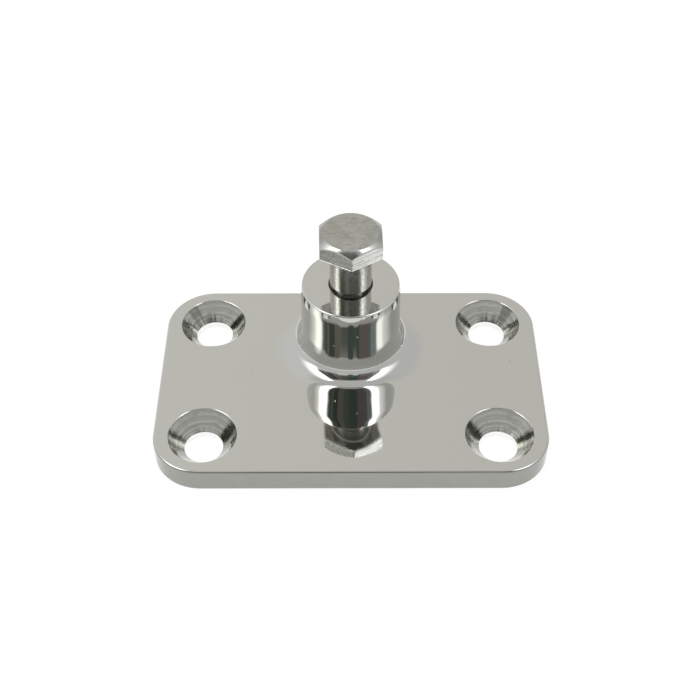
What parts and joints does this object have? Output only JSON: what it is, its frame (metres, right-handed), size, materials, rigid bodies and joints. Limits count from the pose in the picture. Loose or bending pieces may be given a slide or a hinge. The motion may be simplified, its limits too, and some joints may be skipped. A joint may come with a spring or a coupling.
{
  "type": "deck hinge",
  "caption": "Side-mount deck hinge base: a countersunk plate with an offset boss and a fixed hex-head bolt whose plain shank carries a canopy tube's eye end.",
  "frame": {"origin": "centre of the plate's underside, where it meets the deck", "axes": "+X along the plate's long side, +Y towards the long edge that the boss stands nearer to, +Z away from the deck along the boss and the bolt"},
  "size_m": [0.076, 0.0486, 0.0348],
  "materials": {
    "polished_stainless": "mirror polished cast stainless steel",
    "turned_stainless": "turned stainless steel, satin on the head and bright on the shank"
  },
  "bodies": {
    "base": {"base_plate": "polished_stainless"},
    "bolt": {"hex_bolt": "turned_stainless"}
  },
  "joints": [
    {"name": "bolt_withdraw", "type": "slide", "parent": "base", "child": "bolt", "axis": [0, 0, 1], "range_m": [0, 0.026]}
  ]
}
